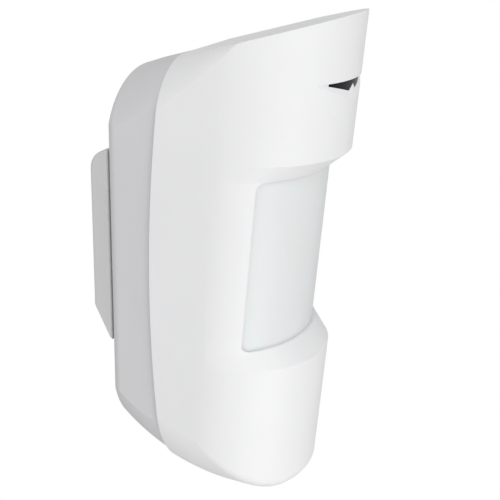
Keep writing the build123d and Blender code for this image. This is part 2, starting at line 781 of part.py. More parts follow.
with BuildPart() as antenna:
    with BuildLine():
        FilletPolyline(
            (antenna_spot[0], -board_front, antenna_spot[1]),
            (antenna_spot[0], -board_front - antenna_reach, antenna_spot[1]),
            (-antenna_spot[0], -board_front - antenna_reach, antenna_spot[1]),
            (-antenna_spot[0], -board_front - antenna_reach, antenna_spot[1] - antenna_drop),
            radius=antenna_bend,
        )
    with BuildSketch(Plane.XZ.offset(board_front)):
        with Locations(antenna_spot):
            Circle(antenna_d / 2)
    sweep()
finish(antenna.part, "antenna")


# ---- Tamper switch behind the board, its plunger and its spring ----
with BuildPart() as tamper_switch:
    with BuildSketch(Plane.XZ.offset(plunger_seat)):
        with Locations((0, plunger_z)):
            RectangleRounded(switch_wide, switch_wide, small_round)
    extrude(amount=switch_high)
    with BuildSketch(Plane.XZ.offset(plunger_seat)):
        with Locations((0, plunger_z)):
            Circle(switch_wide / 6)
    extrude(amount=-switch_nub)
finish(tamper_switch.part, "tamper_switch")

plunger_tip = bracket_depth + fit
flange_face = inner_back + flange_clearance
flange_back = flange_face + flange_thick
stem_end = plunger_seat - switch_nub - plunger_travel - fit
with BuildPart() as tamper_plunger:
    for near, far, diameter in ((plunger_tip, flange_back, plunger_d), (flange_face, flange_back, flange_d),
                                (flange_back, stem_end, stem_d)):
        with BuildSketch(Plane.XZ.offset(near)):
            with Locations((0, plunger_z)):
                Circle(diameter / 2)
        extrude(amount=far - near)
finish(tamper_plunger.part, "tamper_plunger")

spring_pitch = (plunger_seat - flange_back - spring_wire - 2 * fit) / spring_turns
with BuildPart() as tamper_spring:
    with BuildLine() as coil:
        for turn in range(spring_turns):
            start_y = -flange_back - spring_wire / 2 - fit - turn * spring_pitch
            Helix(pitch=spring_pitch, height=spring_pitch, radius=spring_radius,
                  center=(0, start_y, plunger_z), direction=(0, -1, 0))
    with BuildSketch(Plane(origin=coil.line @ 0, z_dir=coil.line % 0)):
        RegularPolygon(spring_wire / 2, spring_sides)
    sweep()
finish(tamper_spring.part, "tamper_spring")


# ---- Sensor chassis: tower over the board, baffle, and arms up into the hood ----
plate_near = chassis_front - chassis_wall
chassis_mid = (chassis_low + chassis_high) / 2
chassis_tall = chassis_high - chassis_low
arm_foot = chassis_high - chassis_wall / 2
arm_top = brow + chassis_wall / 2
with BuildPart() as sensor_chassis:
    with BuildSketch(Plane.XZ.offset(board_front)):
        with Locations((0, chassis_mid)):
            Rectangle(2 * chassis_half, chassis_tall)
            Rectangle(2 * (chassis_half - chassis_wall), chassis_tall - 2 * chassis_wall, mode=Mode.SUBTRACT)
    extrude(amount=chassis_front - board_front)
    with BuildSketch(Plane.XZ.offset(plate_near)):
        with Locations((0, chassis_mid)):
            Rectangle(2 * chassis_half, chassis_tall)
    extrude(amount=chassis_wall)
    with BuildSketch(Plane.XZ.offset(plate_near)):
        with Locations(*[(0, z) for z in sensor_zs]):
            Circle(sensor_d / 2 + 3 * fit)
    extrude(amount=chassis_wall, mode=Mode.SUBTRACT)
    # Baffle that keeps the two fields of view apart.
    with Locations((0, -(chassis_front + baffle_end) / 2, sum(sensor_zs) / 2)):
        Box(2 * baffle_half, baffle_end - chassis_front, chassis_wall)
    # Feet for two screws into the board.
    with BuildSketch(Plane.XZ.offset(board_front)):
        with Locations(*chassis_feet):
            Circle(boss_d / 2)
    extrude(amount=foot_high)
    with BuildSketch(Plane.XZ.offset(board_front)):
        with Locations(*chassis_feet):
            Circle(board_screw_d / 2 + fit)
    extrude(amount=foot_high, mode=Mode.SUBTRACT)
    # Two arms up to the board behind the masking window.
    for x in (arm_half - chassis_wall, -arm_half):
        with BuildSketch(Plane.YZ.offset(x)):
            with BuildLine():
                Polyline((-board_front - arm_root, arm_foot), (-chassis_front, arm_foot),
                         (-arm_front, brow - arm_drop), (-arm_front, arm_top),
                         (-arm_front + arm_tip, arm_top),
                         (-chassis_front + arm_tip, chassis_high + arm_drop),
                         (-board_front - arm_root, chassis_high + arm_tip), close=True)
            make_face()
        extrude(amount=chassis_wall)
finish(sensor_chassis.part, "sensor_chassis")

with BuildPart() as sensor_board:
    with BuildSketch(Plane.XZ.offset(plate_near - sensor_board_thick)):
        with Locations((0, chassis_mid)):
            Rectangle(2 * (chassis_half - chassis_wall) - 4 * fit, chassis_tall - 2 * chassis_wall - 4 * fit)
    extrude(amount=sensor_board_thick)
finish(sensor_board.part, "sensor_board")

for name, sensor_z in zip(("lower_pir_sensor", "upper_pir_sensor"), sensor_zs):
    with BuildPart() as pir_sensor:
        with BuildSketch(Plane.XZ.offset(plate_near)):
            with Locations((0, sensor_z)):
                Circle(sensor_d / 2)
        extrude(amount=sensor_high)
        fillet(pir_sensor.faces().sort_by(Axis.Y)[0].edges(), small_round)
        with BuildSketch(Plane.XZ.offset(plate_near + sensor_high - sensor_pane[2])):
            with Locations((0, sensor_z)):
                Rectangle(sensor_pane[0], sensor_pane[1])
        extrude(amount=sensor_pane[2], mode=Mode.SUBTRACT)
    finish(pir_sensor.part, name)

with BuildPart() as mask_board:
    with BuildSketch(Plane.XZ.offset(arm_front)):
        with Locations((0, brow - mask_board_mid)):
            Rectangle(2 * arm_half, mask_board_high)
    extrude(amount=sensor_board_thick)
finish(mask_board.part, "mask_board")

for name, x in (("mask_emitter", -mask_led_x), ("mask_receiver", mask_led_x)):
    with BuildPart() as mask_led:
        with BuildSketch(Plane.XZ.offset(arm_front + sensor_board_thick)):
            with Locations((x, mask_led_z)):
                Circle(led_d / 2)
        extrude(amount=mask_led_high)
        fillet(mask_led.faces().sort_by(Axis.Y)[0].edges(), led_d * 0.4)
    finish(mask_led.part, name)


# ---- Battery holder, cells and contacts ----
cell_room = cell_length + cell_button + 2 * contact_high
holder_high = cell_room + 2 * holder_wall
holder_mid = holder_low + holder_high / 2
holder_half = cell_d + 1.5 * cell_gap + holder_wall
cell_xs = (-(cell_d + cell_gap) / 2, (cell_d + cell_gap) / 2)
cell_y = -(inner_back + holder_wall + cell_gap / 2 + cell_d / 2)
cell_low = holder_low + holder_wall + contact_high
with BuildPart() as battery_holder:
    with BuildSketch(Plane.XZ.offset(inner_back)):
        with Locations((0, holder_mid)):
            RectangleRounded(2 * holder_half, holder_high, holder_corner)
    extrude(amount=holder_wall + cell_d * 0.85)
    with BuildSketch(Plane.XZ.offset(inner_back + holder_wall)):
        with Locations((0, holder_mid)):
            Rectangle(2 * (holder_half - holder_wall), cell_room)
    extrude(amount=cell_d, mode=Mode.SUBTRACT)
    with BuildSketch(Plane.XZ.offset(inner_back + holder_wall + cell_d * 0.6)):
        with Locations((0, holder_mid)):
            Rectangle(3 * holder_half, holder_high * 0.6)
    extrude(amount=cell_d, mode=Mode.SUBTRACT)
finish(battery_holder.part, "battery_holder")

for name, x in zip(("battery_left", "battery_right"), cell_xs):
    with BuildPart() as cell:
        with BuildSketch(Plane.XY.offset(cell_low)):
            with Locations((x, cell_y)):
                Circle(cell_d / 2)
        extrude(amount=cell_length)
        fillet(cell.edges().filter_by(GeomType.CIRCLE), small_round)
        with BuildSketch(Plane.XY.offset(cell_low + cell_length)):
            with Locations((x, cell_y)):
                Circle(cell_button_d / 2)
        extrude(amount=cell_button)
    finish(cell.part, name)

# A leaf against each end wall, drawn out into a cone that presses on the cell.
with BuildPart() as battery_contacts:
    far_wall = cell_low + cell_length + cell_button + contact_high
    for wall_z, side in ((cell_low - contact_high, 1), (far_wall, -1)):
        for x in cell_xs:
            leaf_plane = Plane(origin=(x, cell_y, wall_z), z_dir=(0, 0, side))
            with BuildSketch(leaf_plane):
                Rectangle(contact_wide, contact_wide)
            extrude(amount=contact_leaf)
            with BuildSketch(leaf_plane.offset(contact_leaf)):
                Circle(contact_cone_d / 2)
            extrude(amount=contact_high - contact_leaf, taper=contact_taper)
finish(battery_contacts.part, "battery_contacts")

# Blind rubber plug in the cable entry.
with BuildPart() as cable_plug:
    for near, far, diameter in ((back, inner_back, cable_hole_d - 2 * fit),
                                (inner_back, inner_back + plug_lip, cable_hole_d + 2 * plug_lip)):
        with BuildSketch(Plane.XZ.offset(near)):
            with Locations((0, cable_z)):
                Circle(diameter / 2)
        extrude(amount=far - near)
    with BuildSketch(Plane.XZ.offset(back)):
        with Locations((0, cable_z)):
            Circle(cable_hole_d / 4)
    extrude(amount=rear_wall - plug_lip, mode=Mode.SUBTRACT)
finish(cable_plug.part, "cable_plug")
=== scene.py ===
import math
import bpy
from mathutils import Matrix, Vector


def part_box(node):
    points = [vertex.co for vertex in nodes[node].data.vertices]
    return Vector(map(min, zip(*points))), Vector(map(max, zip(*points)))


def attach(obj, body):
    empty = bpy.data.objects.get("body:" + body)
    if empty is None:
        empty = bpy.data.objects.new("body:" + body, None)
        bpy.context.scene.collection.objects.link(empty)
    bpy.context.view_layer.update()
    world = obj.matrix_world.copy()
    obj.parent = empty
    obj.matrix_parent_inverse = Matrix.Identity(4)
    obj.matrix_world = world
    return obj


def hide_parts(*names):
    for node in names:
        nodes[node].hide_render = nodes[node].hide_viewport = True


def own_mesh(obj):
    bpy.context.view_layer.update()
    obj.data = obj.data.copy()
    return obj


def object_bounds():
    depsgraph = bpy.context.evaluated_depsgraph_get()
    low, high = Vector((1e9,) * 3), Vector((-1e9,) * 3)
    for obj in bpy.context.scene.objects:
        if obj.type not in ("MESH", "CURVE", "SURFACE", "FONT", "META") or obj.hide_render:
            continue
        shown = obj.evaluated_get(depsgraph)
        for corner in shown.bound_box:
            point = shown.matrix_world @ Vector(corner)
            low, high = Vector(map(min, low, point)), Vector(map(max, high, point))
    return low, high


# Outdoor motion sensor on its wall bracket: finishes, fine metalwork, light and floor round the
# fixed frame. Metres, +Z up, the front faces -Y, the wall is y = 0.

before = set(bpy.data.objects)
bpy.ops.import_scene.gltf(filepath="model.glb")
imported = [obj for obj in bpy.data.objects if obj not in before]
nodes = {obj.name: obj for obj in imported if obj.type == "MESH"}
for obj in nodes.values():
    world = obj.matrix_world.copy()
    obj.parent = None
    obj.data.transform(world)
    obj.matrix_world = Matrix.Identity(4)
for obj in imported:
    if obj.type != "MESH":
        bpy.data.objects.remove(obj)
cad_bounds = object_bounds()


# ---- Camera, studio light and floor ----
def direction(azimuth, elevation):
    """Unit vector from the object towards a point at this azimuth and elevation in degrees."""
    az, el = math.radians(azimuth), math.radians(elevation)
    return Vector((math.sin(az) * math.cos(el), -math.cos(az) * math.cos(el), math.sin(el)))


def aimed(position, target, roll=0.0):
    """Rotation that points an object's -Z from position to target."""
    facing = (target - position).to_track_quat("-Z", "Y").to_matrix()
    return facing @ Matrix.Rotation(math.radians(roll), 3, "Z")


VIEW_AZIMUTH, VIEW_ELEVATION = -63.357, 19.118
VIEW_DISTANCE = 0.4108
VIEW_ROLL = 0.185
VIEW_TARGET = Vector((0.0, -0.030, 0.0))
LENS_MM, GATE_MM = 74.32, 36.0
LENS_SHIFT = (0.1018, -0.0299)

camera_data = bpy.data.cameras.new("studio_camera")
camera_data.sensor_width = GATE_MM
camera_data.lens = LENS_MM
camera_data.shift_x, camera_data.shift_y = LENS_SHIFT
camera_data.clip_start = 0.01
camera_data.clip_end = 20.0
camera = bpy.data.objects.new("studio_camera", camera_data)
bpy.context.scene.collection.objects.link(camera)
camera.location = VIEW_TARGET + direction(VIEW_AZIMUTH, VIEW_ELEVATION) * VIEW_DISTANCE
camera.rotation_euler = aimed(camera.location, VIEW_TARGET, VIEW_ROLL).to_euler()
bpy.context.scene.camera = camera
bpy.context.scene.view_settings.view_transform = "Standard"


def softbox(name, azimuth, elevation, distance, size, power):
    """Square area light aimed at the middle of the sensor."""
    lamp = bpy.data.lights.new(name, "AREA")
    lamp.shape = "SQUARE"
    lamp.size = size
    lamp.energy = power
    lamp_object = bpy.data.objects.new(name, lamp)
    bpy.context.scene.collection.objects.link(lamp_object)
    lamp_object.location = VIEW_TARGET + direction(azimuth, elevation) * distance
    lamp_object.rotation_euler = aimed(lamp_object.location, VIEW_TARGET).to_euler()


softbox("key_softbox", azimuth=-45, elevation=36, distance=1.3, size=0.9, power=5.6)
softbox("left_fill", azimuth=-105, elevation=40, distance=1.4, size=1.0, power=2.6)
softbox("low_front_fill", azimuth=-25, elevation=-34, distance=0.9, size=0.7, power=2.5)

# The studio air is white from below and greyer overhead; the camera sees plain white paper.
SKY_POWER = 0.92
SKY_LOW, SKY_LOW_COLOUR = 0.35, (1.0, 1.0, 1.0, 1.0)
SKY_HIGH, SKY_HIGH_COLOUR = 0.95, (0.46, 0.46, 0.465, 1.0)
PAPER_WHITE = (1.0, 1.0, 1.0, 1.0)

world = bpy.data.worlds.new("studio")
bpy.context.scene.world = world
world.use_nodes = True
sky = world.node_tree
sky.nodes.clear()
sky_coord = sky.nodes.new("ShaderNodeTexCoord")
sky_split = sky.nodes.new("ShaderNodeSeparateXYZ")
sky_ramp = sky.nodes.new("ShaderNodeValToRGB")
sky_shift = sky.nodes.new("ShaderNodeMapRange")
sky_light = sky.nodes.new("ShaderNodeBackground")
sky_out = sky.nodes.new("ShaderNodeOutputWorld")
sky_shift.inputs["From Min"].default_value = -1.0
sky_ramp.color_ramp.elements[0].position = SKY_LOW
sky_ramp.color_ramp.elements[0].color = SKY_LOW_COLOUR
sky_ramp.color_ramp.elements[1].position = SKY_HIGH
sky_ramp.color_ramp.elements[1].color = SKY_HIGH_COLOUR
sky_light.inputs["Strength"].default_value = SKY_POWER
sky.links.new(sky_coord.outputs["Generated"], sky_split.inputs["Vector"])
sky.links.new(sky_split.outputs["Z"], sky_shift.inputs["Value"])
sky.links.new(sky_shift.outputs["Result"], sky_ramp.inputs["Fac"])
sky.links.new(sky_ramp.outputs["Color"], sky_light.inputs["Color"])
sky_backdrop = sky.nodes.new("ShaderNodeBackground")
sky_backdrop.inputs["Color"].default_value = PAPER_WHITE
sky_mix = sky.nodes.new("ShaderNodeMixShader")
sky_seen = sky.nodes.new("ShaderNodeLightPath")
sky.links.new(sky_seen.outputs["Is Camera Ray"], sky_mix.inputs["Fac"])
sky.links.new(sky_light.outputs["Background"], sky_mix.inputs[1])
sky.links.new(sky_backdrop.outputs["Background"], sky_mix.inputs[2])
sky.links.new(sky_mix.outputs[0], sky_out.inputs["Surface"])


# ---- Node materials ----
class Finish:
    """A Principled material whose patterns are built on Object coordinates."""

    def __init__(self, name, roughness=0.5, **sockets):
        self.material = bpy.data.materials.new(name)
        self.material.use_nodes = True
        self.tree = self.material.node_tree
        self.tree.nodes.clear()
        self.out = self.add("ShaderNodeOutputMaterial")
        self.surface = self.add("ShaderNodeBsdfPrincipled")
        self.surface.inputs["Roughness"].default_value = roughness
        for socket, value in sockets.items():
            self.surface.inputs[socket.replace("_", " ")].default_value = value
        self.link(self.surface.outputs[0], self.out.inputs["Surface"])
        self.place = self.add("ShaderNodeTexCoord").outputs["Object"]
        self.height = None

    def add(self, kind, **settings):
        made = self.tree.nodes.new(kind)
        for key, value in settings.items():
            setattr(made, key, value)
        return made

    def link(self, source, target):
        self.tree.links.new(source, target)

    def stretched(self, scale):
        """Object coordinates scaled by a vector."""
        mapping = self.add("ShaderNodeMapping")
        mapping.inputs["Scale"].default_value = scale
        self.link(self.place, mapping.inputs["Vector"])
        return mapping.outputs["Vector"]

    def noise(self, scale, detail=2.0, rough=0.5, stretch=None):
        texture = self.add("ShaderNodeTexNoise")
        texture.inputs["Scale"].default_value = scale
        texture.inputs["Detail"].default_value = detail
        texture.inputs["Roughness"].default_value = rough
        self.link(self.stretched(stretch) if stretch else self.place, texture.inputs["Vector"])
        return texture.outputs["Fac"]

    def cells(self, scale, feature="F1", stretch=None):
        texture = self.add("ShaderNodeTexVoronoi", feature=feature)
        texture.inputs["Scale"].default_value = scale
        self.link(self.stretched(stretch) if stretch else self.place, texture.inputs["Vector"])
        return texture.outputs["Distance"]

    def remap(self, value, low, high, from_low=0.0, from_high=1.0):
        node = self.add("ShaderNodeMapRange")
        node.inputs["From Min"].default_value = from_low
        node.inputs["From Max"].default_value = from_high
        node.inputs["To Min"].default_value = low
        node.inputs["To Max"].default_value = high
        self.link(value, node.inputs["Value"])
        return node.outputs["Result"]

    def ramp(self, value, *stops):
        """Colour ramp through (position, colour) stops."""
        node = self.add("ShaderNodeValToRGB")
        elements = node.color_ramp.elements
        while len(elements) < len(stops):
            elements.new(0.5)
        for element, (position, colour) in zip(elements, stops):
            element.position = position
            element.color = (*colour, 1.0)
        self.link(value, node.inputs["Fac"])
        return node.outputs["Color"]

    def blend(self, factor, first, second, how="MIX"):
        node = self.add("ShaderNodeMix", data_type="RGBA", blend_type=how)
        if isinstance(factor, float):
            node.inputs[0].default_value = factor
        else:
            self.link(factor, node.inputs[0])
        for index, colour in ((6, first), (7, second)):
            if isinstance(colour, tuple):
                node.inputs[index].default_value = (*colour, 1.0)
            else:
                self.link(colour, node.inputs[index])
        return node.outputs[2]

    def colour(self, socket):
        self.link(socket, self.surface.inputs["Base Color"])

    def roughness(self, socket):
        self.link(socket, self.surface.inputs["Roughness"])

    def bump(self, height, depth, strength=1.0):
        """Relief of this depth in metres, over any relief already there."""
        node = self.add("ShaderNodeBump")
        node.inputs["Strength"].default_value = strength
        node.inputs["Distance"].default_value = depth
        self.link(height, node.inputs["Height"])
        if self.height:
            self.link(self.height, node.inputs["Normal"])
        self.height = node.outputs["Normal"]
        self.link(self.height, self.surface.inputs["Normal"])


def tinted(colour, factor):
    """A colour made lighter or darker."""
    return tuple(min(1.0, channel * factor) for channel in colour)


# Pattern scales, in features per metre
FLOW_MARKS = 28.0
SPARK_GRAIN = 3800.0
SPARK_PITS = 2600.0
GLOSS_PATCHES = 160.0
SINK_MARKS = 38.0
SINK_DEPTH = 0.00008
DRAWN_LINES = 2600.0
PLATING_CLOUDS = 240.0
SCRATCHES = 900.0


def moulded(name, colour, roughness=0.5, spark=0.00003, mottling=0.02):
    """Injection-moulded plastic: spark-eroded grain, faint flow marks, uneven gloss and sink marks."""
    finish = Finish(name, roughness)
    flow = finish.noise(FLOW_MARKS, 4.0, 0.55, stretch=(1.0, 1.0, 0.45))
    paler, darker = tinted(colour, 1 + mottling / 2), tinted(colour, 1 - mottling)
    body = finish.ramp(flow, (0.3, darker), (0.7, paler))
    speck = finish.noise(SPARK_GRAIN, 2.0, 0.6)
    speckle = finish.ramp(speck, (0.35, (0.94, 0.94, 0.94)), (0.55, (1.0, 1.0, 1.0)))
    finish.colour(finish.blend(0.5, body, speckle, "MULTIPLY"))
    gloss = finish.noise(GLOSS_PATCHES, 3.0)
    finish.roughness(finish.remap(gloss, roughness - 0.06, roughness + 0.06))
    finish.bump(finish.noise(SINK_MARKS, 1.0), SINK_DEPTH, 0.25)
    finish.bump(speck, spark, 0.55)
    finish.bump(finish.cells(SPARK_PITS), spark / 2, 0.4)
    return finish.material


def brushed_metal(name, colour, roughness=0.32, stretch=(1.0, 1.0, 0.08)):
    """Plated or drawn metal: fine drawn lines, cloudy plating and small scratches."""
    finish = Finish(name, roughness, Metallic=1.0)
    lines = finish.noise(DRAWN_LINES, 3.0, 0.6, stretch=stretch)
    cloud = finish.noise(PLATING_CLOUDS, 4.0, 0.6)
    finish.colour(finish.ramp(cloud, (0.3, tinted(colour, 0.86)), (0.7, tinted(colour, 1.06))))
    finish.roughness(finish.remap(lines, roughness - 0.08, roughness + 0.14))
    finish.bump(lines, 0.00001, 0.35)
    finish.bump(finish.cells(SCRATCHES, stretch=(1.0, 6.0, 1.0)), 0.000008, 0.2)
    return finish.material


TRACK_WIDTH = 0.00022
TRACK_RUN = 0.0062
TRACK_GAP = 0.0024
BOARD_GREEN = (0.012, 0.115, 0.045)
TINNED_PAD = (0.62, 0.60, 0.55)


def circuit_board(name, colour=BOARD_GREEN):
    """Solder-masked board: copper tracks under the mask, tinned pads and a weave that shows through."""
    finish = Finish(name, 0.34, Coat_Weight=0.35, Coat_Roughness=0.2)
    tracks = finish.add(
        "ShaderNodeTexBrick", offset=0.37, offset_frequency=3, squash=1.6, squash_frequency=2)
    tracks.inputs["Scale"].default_value = 1.0
    tracks.inputs["Mortar Size"].default_value = TRACK_WIDTH
    tracks.inputs["Mortar Smooth"].default_value = 0.1
    tracks.inputs["Brick Width"].default_value = TRACK_RUN
    tracks.inputs["Row Height"].default_value = TRACK_GAP
    turned = finish.add("ShaderNodeMapping")
    turned.inputs["Rotation"].default_value = (math.radians(90), 0.0, 0.0)
    finish.link(finish.place, turned.inputs["Vector"])
    finish.link(turned.outputs["Vector"], tracks.inputs["Vector"])
    copper = finish.remap(tracks.outputs["Fac"], 0.0, 0.55)
    weave = finish.noise(1400.0, 2.0, 0.5, stretch=(1.0, 0.3, 1.0))
    mask = finish.ramp(weave, (0.3, tinted(colour, 0.82)), (0.7, tinted(colour, 1.15)))
    tracked = finish.blend(copper, mask, tinted(colour, 2.1))
    pads = finish.cells(330.0)
    pad = finish.ramp(pads, (0.10, (1.0, 1.0, 1.0)), (0.13, (0.0, 0.0, 0.0)))
    finish.colour(finish.blend(pad, tracked, TINNED_PAD))
    finish.roughness(finish.remap(finish.noise(500.0), 0.26, 0.44))
    finish.bump(copper, 0.00003, 0.6)
    finish.bump(weave, 0.00001, 0.4)
    return finish.material


def rubber(name, colour, pore=1500.0, roughness=0.78):
    """Matt rubber or foam: open pores, chalky bloom and slightly uneven colour."""
    finish = Finish(name, roughness)
    bloom = finish.noise(180.0, 4.0, 0.65)
    finish.colour(finish.ramp(bloom, (0.3, tinted(colour, 0.8)), (0.75, tinted(colour, 1.35))))
    finish.roughness(finish.remap(bloom, roughness - 0.1, roughness + 0.1))
    finish.bump(finish.cells(pore), 0.00006, 0.7)
    finish.bump(finish.noise(4 * pore, 2.0), 0.00001, 0.5)
    return finish.material


def resin(name, colour, roughness=0.1, clear=0.0, coat=0.3, **sockets):
    """Polished plastic or epoxy: deep gloss, faint ripple and hairline scratches."""
    finish = Finish(
        name, roughness, Transmission_Weight=clear, Coat_Weight=coat, Coat_Roughness=0.05, **sockets)
    depth = finish.noise(320.0, 3.0)
    finish.colour(finish.ramp(depth, (0.3, tinted(colour, 0.85)), (0.7, tinted(colour, 1.15))))
    scratch = finish.noise(SCRATCHES, 4.0, 0.7, stretch=(1.0, 1.0, 0.06))
    finish.roughness(finish.remap(scratch, roughness * 0.7, roughness * 1.9))
    finish.bump(finish.noise(70.0, 1.0), 0.00006, 0.3)
    finish.bump(scratch, 0.000003, 0.3)
    return finish.material


def battery_sleeve(name, colour, band, low, high):
    """Shrink sleeve round a steel cell: printed band near one end, bare steel at both rims."""
    finish = Finish(name, 0.3, Coat_Weight=0.25, Coat_Roughness=0.1)
    split = finish.add("ShaderNodeSeparateXYZ")
    finish.link(finish.place, split.inputs["Vector"])
    along = finish.remap(split.outputs["Z"], 0.0, 1.0, low, high)
    bare, covered = (1.0, 1.0, 1.0), (0.0, 0.0, 0.0)
    steel = finish.ramp(
        along, (0.0, bare), (0.02, bare), (0.03, covered), (0.945, covered), (0.955, bare))
    banded = finish.ramp(along, (0.0, band), (0.22, band), (0.225, colour), (1.0, colour))
    wrinkle = finish.noise(220.0, 4.0, 0.6, stretch=(1.0, 1.0, 0.3))
    shade = finish.ramp(wrinkle, (0.3, (0.88, 0.88, 0.88)), (0.65, (1.0, 1.0, 1.0)))
    sleeve = finish.blend(1.0, banded, shade, "MULTIPLY")
    finish.colour(finish.blend(steel, sleeve, STEEL))
    finish.link(steel, finish.surface.inputs["Metallic"])
    finish.roughness(finish.remap(wrinkle, 0.22, 0.42))
    finish.bump(wrinkle, 0.00004, 0.4)
    return finish.material


def lens_sheet(name, colour):
    """Milky polyethylene sheet: light enters it, and its face is slightly hazy and uneven."""
    finish = Finish(
        name, 0.42, Subsurface_Weight=0.25, Subsurface_Scale=0.002, Transmission_Weight=0.06)
    haze = finish.noise(45.0, 4.0, 0.55, stretch=(1.0, 1.0, 0.5))
    finish.colour(finish.ramp(haze, (0.3, tinted(colour, 0.975)), (0.7, tinted(colour, 1.01))))
    finish.roughness(finish.remap(finish.noise(220.0, 3.0), 0.36, 0.50))
    finish.bump(finish.noise(30.0, 2.0), 0.00012, 0.35)
    finish.bump(finish.noise(3000.0, 2.0), 0.00001, 0.4)
    return finish.material


WHITE = (0.835, 0.838, 0.842)
COVER_WHITE = (0.835, 0.836, 0.842)
# The rear shell colour is darker than the cover white, partly for the rear plastic's own greyer tone and
# partly as painted shade for the shade on the rear shell's sides.
REAR_GREY_WITH_PAINTED_SHADE = (0.665, 0.665, 0.675)
BRACKET_WHITE = (0.600, 0.600, 0.603)
BLACK_PLASTIC = (0.016, 0.016, 0.018)
STEEL = (0.56, 0.57, 0.58)
NICKEL = (0.66, 0.65, 0.62)
SLEEVE_BLUE = (0.16, 0.24, 0.33)
BAND_GREY = (0.62, 0.63, 0.64)

cover_plastic = moulded("cover_satin_white", COVER_WHITE, 0.46)
# Rear shell material: its darker base colour is partly its own greyer tone and partly painted shade on the
# rear shell's sides.
rear_plastic_with_painted_shade = moulded("rear_shell_grey_with_painted_shade", REAR_GREY_WITH_PAINTED_SHADE, 0.52)
bracket_plastic = moulded("bracket_white", BRACKET_WHITE, 0.55)
frame_plastic = moulded("lens_frame_white", WHITE, 0.5)
black_plastic = moulded("chassis_black", BLACK_PLASTIC, 0.48, mottling=0.2)
holder_plastic = moulded("battery_holder_black", tinted(BLACK_PLASTIC, 1.3), 0.55, mottling=0.2)
chip_epoxy = moulded("chip_epoxy_black", (0.02, 0.02, 0.021), 0.62, spark=0.00002, mottling=0.15)
grey_plastic = moulded("button_light_grey", (0.52, 0.52, 0.51), 0.45)
trimmer_blue = moulded("trimmer_blue", (0.03, 0.10, 0.34), 0.4, mottling=0.08)
screw_steel = brushed_metal("zinc_plated_screw", STEEL, 0.34)
spring_steel = brushed_metal("drawn_spring_wire", STEEL, 0.25, stretch=(0.3, 0.3, 1.0))
can_nickel = brushed_metal("nickel_can", NICKEL, 0.22)
shield_tin = brushed_metal("tinned_shield", (0.68, 0.69, 0.70), 0.30, stretch=(0.08, 1.0, 1.0))
antenna_wire = brushed_metal("bare_brass_wire", (0.62, 0.43, 0.17), 0.3)
cell_low, cell_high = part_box("battery_left")
cell_sleeve = battery_sleeve("battery_sleeve", SLEEVE_BLUE, BAND_GREY, cell_low[2], cell_high[2])

FINISHES = {
    "front_cover": cover_plastic,
    "rear_shell": rear_plastic_with_painted_shade,
    "wall_bracket": bracket_plastic,
    "lens_frame": frame_plastic,
    "fresnel_lens": lens_sheet("lens_milky_sheet", (0.80, 0.81, 0.812)),
    "masking_window": resin(
        "smoked_window", (0.008, 0.0085, 0.009), 0.16, Specular_IOR_Level=0.22, coat=0.0),
    "cover_gasket": rubber("foam_gasket", (0.035, 0.035, 0.037)),
    "cable_plug": rubber("rubber_plug", (0.022, 0.022, 0.024), pore=900.0),
    "cover_screw": screw_steel,
    "bracket_lock_screw": screw_steel,
    "board_screws": screw_steel,
    "main_board": circuit_board("main_board_mask"),
    "sensor_board": circuit_board("sensor_board_mask"),
    "mask_board": circuit_board("mask_board_mask"),
    "radio_module": shield_tin,
    "microcontroller": chip_epoxy,
    "power_switch": black_plastic,
    "tamper_switch": black_plastic,
    "power_button": grey_plastic,
    "tamper_plunger": grey_plastic,
    "range_trimmer": trimmer_blue,
    "trimmer_rotor": moulded("trimmer_rotor_white", (0.7, 0.7, 0.68), 0.42),
    "status_led": resin("led_red_epoxy", (0.75, 0.05, 0.03), 0.12, 0.55),
    "mask_emitter": resin("emitter_clear_epoxy", (0.72, 0.78, 0.86), 0.08, 0.8),
    "mask_receiver": resin("receiver_dark_epoxy", (0.03, 0.012, 0.03), 0.1, 0.2),
    "antenna": antenna_wire,
    "tamper_spring": spring_steel,
    "sensor_chassis": black_plastic,
    "lower_pir_sensor": can_nickel,
    "upper_pir_sensor": can_nickel,
    "battery_holder": holder_plastic,
    "battery_left": cell_sleeve,
    "battery_right": cell_sleeve,
    "battery_contacts": brushed_metal("contact_nickel", NICKEL, 0.28),
}
for node_name, material in FINISHES.items():
    slots = nodes[node_name].data.materials
    slots.clear()
    slots.append(material)

